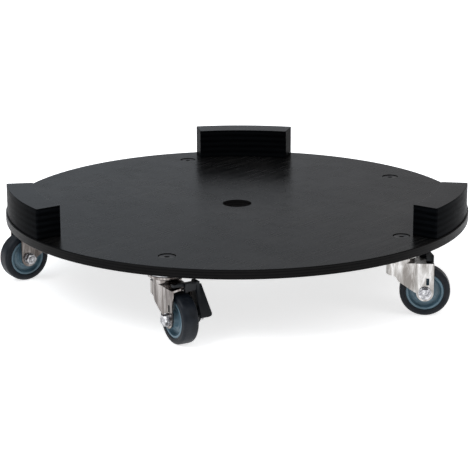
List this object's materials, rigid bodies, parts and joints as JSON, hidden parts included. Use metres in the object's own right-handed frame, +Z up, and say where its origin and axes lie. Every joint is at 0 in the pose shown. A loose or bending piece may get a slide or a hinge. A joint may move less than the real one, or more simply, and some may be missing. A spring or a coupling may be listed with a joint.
{
  "type": "round furniture dolly",
  "caption": "Thin round deck on swivel casters, with curved edge blocks that keep a round load centred and side brake levers on some casters.",
  "frame": {"origin": "on the deck's axis, in the middle of the centre hole's mouth at the deck's top face", "axes": "+Z up out of the deck's top face along the centre hole; +Y towards the middle of the back block; +X to the right"},
  "size_m": [0.4874, 0.48, 0.1105],
  "materials": {
    "deck_ply": "black stain under satin lacquer on plywood",
    "block_ply": "black stain under satin lacquer on plywood",
    "bolt_steel": "bright zinc plate",
    "black_steel": "black finish on steel screws",
    "zinc_plate": "bright zinc plate, lightly brushed",
    "ball_steel": "polished bearing steel",
    "fork_steel": "bright zinc plated pressed steel",
    "hub_plastic": "blue-grey moulded plastic, slight sheen",
    "tyre_rubber": "charcoal rubber",
    "lever_plastic": "dark slate moulded plastic"
  },
  "bodies": {
    "deck": {"deck": "deck_ply", "back_block": "block_ply", "left_block": "block_ply", "right_block": "block_ply", "block_screws": "black_steel", "mounting_bolts": "black_steel", "mounting_washers": "bolt_steel", "mounting_nuts": "bolt_steel", "bearing_plate_left": "zinc_plate", "king_pin_left": "zinc_plate", "bearing_plate_front": "zinc_plate", "king_pin_front": "zinc_plate", "bearing_plate_right": "zinc_plate", "king_pin_right": "zinc_plate", "bearing_plate_back_right": "zinc_plate", "king_pin_back_right": "zinc_plate", "bearing_plate_back_left": "zinc_plate", "king_pin_back_left": "zinc_plate"},
    "swivel_left": {"fork_left": "fork_steel", "bearing_balls_left": "ball_steel", "axle_bolt_left": "bolt_steel", "axle_nut_left": "bolt_steel", "wheel_bush_left": "bolt_steel"},
    "wheel_left": {"hub_left": "hub_plastic", "tyre_left": "tyre_rubber"},
    "swivel_front": {"fork_front": "fork_steel", "bearing_balls_front": "ball_steel", "axle_bolt_front": "bolt_steel", "axle_nut_front": "bolt_steel", "wheel_bush_front": "bolt_steel", "cam_washer_front": "bolt_steel"},
    "wheel_front": {"hub_front": "hub_plastic", "tyre_front": "tyre_rubber"},
    "swivel_right": {"fork_right": "fork_steel", "bearing_balls_right": "ball_steel", "axle_bolt_right": "bolt_steel", "axle_nut_right": "bolt_steel", "wheel_bush_right": "bolt_steel", "cam_washer_right": "bolt_steel"},
    "wheel_right": {"hub_right": "hub_plastic", "tyre_right": "tyre_rubber"},
    "swivel_back_right": {"fork_back_right": "fork_steel", "bearing_balls_back_right": "ball_steel", "axle_bolt_back_right": "bolt_steel", "axle_nut_back_right": "bolt_steel", "wheel_bush_back_right": "bolt_steel"},
    "wheel_back_right": {"hub_back_right": "hub_plastic", "tyre_back_right": "tyre_rubber"},
    "swivel_back_left": {"fork_back_left": "fork_steel", "bearing_balls_back_left": "ball_steel", "axle_bolt_back_left": "bolt_steel", "axle_nut_back_left": "bolt_steel", "wheel_bush_back_left": "bolt_steel"},
    "wheel_back_left": {"hub_back_left": "hub_plastic", "tyre_back_left": "tyre_rubber"},
    "brake_front": {"brake_lever_front": "lever_plastic"},
    "brake_right": {"brake_lever_right": "lever_plastic"}
  },
  "joints": [
    {"name": "swivel_left", "type": "hinge", "parent": "deck", "child": "swivel_left", "pos_m": [-0.204, 0, -0.0185], "axis": [0, 0, 1], "continuous": true},
    {"name": "roll_left", "type": "hinge", "parent": "swivel_left", "child": "wheel_left", "pos_m": [-0.22354, -0.01394, -0.0545], "axis": [0.5807, -0.8141, 0], "continuous": true},
    {"name": "swivel_front", "type": "hinge", "parent": "deck", "child": "swivel_front", "pos_m": [-0.05964, -0.19509, -0.0185], "axis": [0, 0, 1], "continuous": true},
    {"name": "roll_front", "type": "hinge", "parent": "swivel_front", "child": "wheel_front", "pos_m": [-0.04693, -0.21544, -0.0545], "axis": [0.848, 0.5299, 0], "continuous": true},
    {"name": "swivel_right", "type": "hinge", "parent": "deck", "child": "swivel_right", "pos_m": [0.16504, -0.11991, -0.0185], "axis": [0, 0, 1], "continuous": true},
    {"name": "roll_right", "type": "hinge", "parent": "swivel_right", "child": "wheel_right", "pos_m": [0.18901, -0.12116, -0.0545], "axis": [0.0523, 0.9986, 0], "continuous": true},
    {"name": "swivel_back_right", "type": "hinge", "parent": "deck", "child": "swivel_back_right", "pos_m": [0.16504, 0.11991, -0.0185], "axis": [0, 0, 1], "continuous": true},
    {"name": "roll_back_right", "type": "hinge", "parent": "swivel_back_right", "child": "wheel_back_right", "pos_m": [0.1414, 0.11574, -0.0545], "axis": [0.1736, -0.9848, 0], "continuous": true},
    {"name": "swivel_back_left", "type": "hinge", "parent": "deck", "child": "swivel_back_left", "pos_m": [-0.06304, 0.19402, -0.0185], "axis": [0, 0, 1], "continuous": true},
    {"name": "roll_back_left", "type": "hinge", "parent": "swivel_back_left", "child": "wheel_back_left", "pos_m": [-0.04049, 0.20222, -0.0545], "axis": [-0.342, 0.9397, 0], "continuous": true},
    {"name": "brake_front", "type": "hinge", "parent": "swivel_front", "child": "brake_front", "pos_m": [-0.04693, -0.21544, -0.0545], "axis": [0.848, 0.5299, 0], "range_deg": [0, 32]},
    {"name": "brake_right", "type": "hinge", "parent": "swivel_right", "child": "brake_right", "pos_m": [0.18901, -0.12116, -0.0545], "axis": [0.0523, 0.9986, 0], "range_deg": [0, 32]}
  ]
}
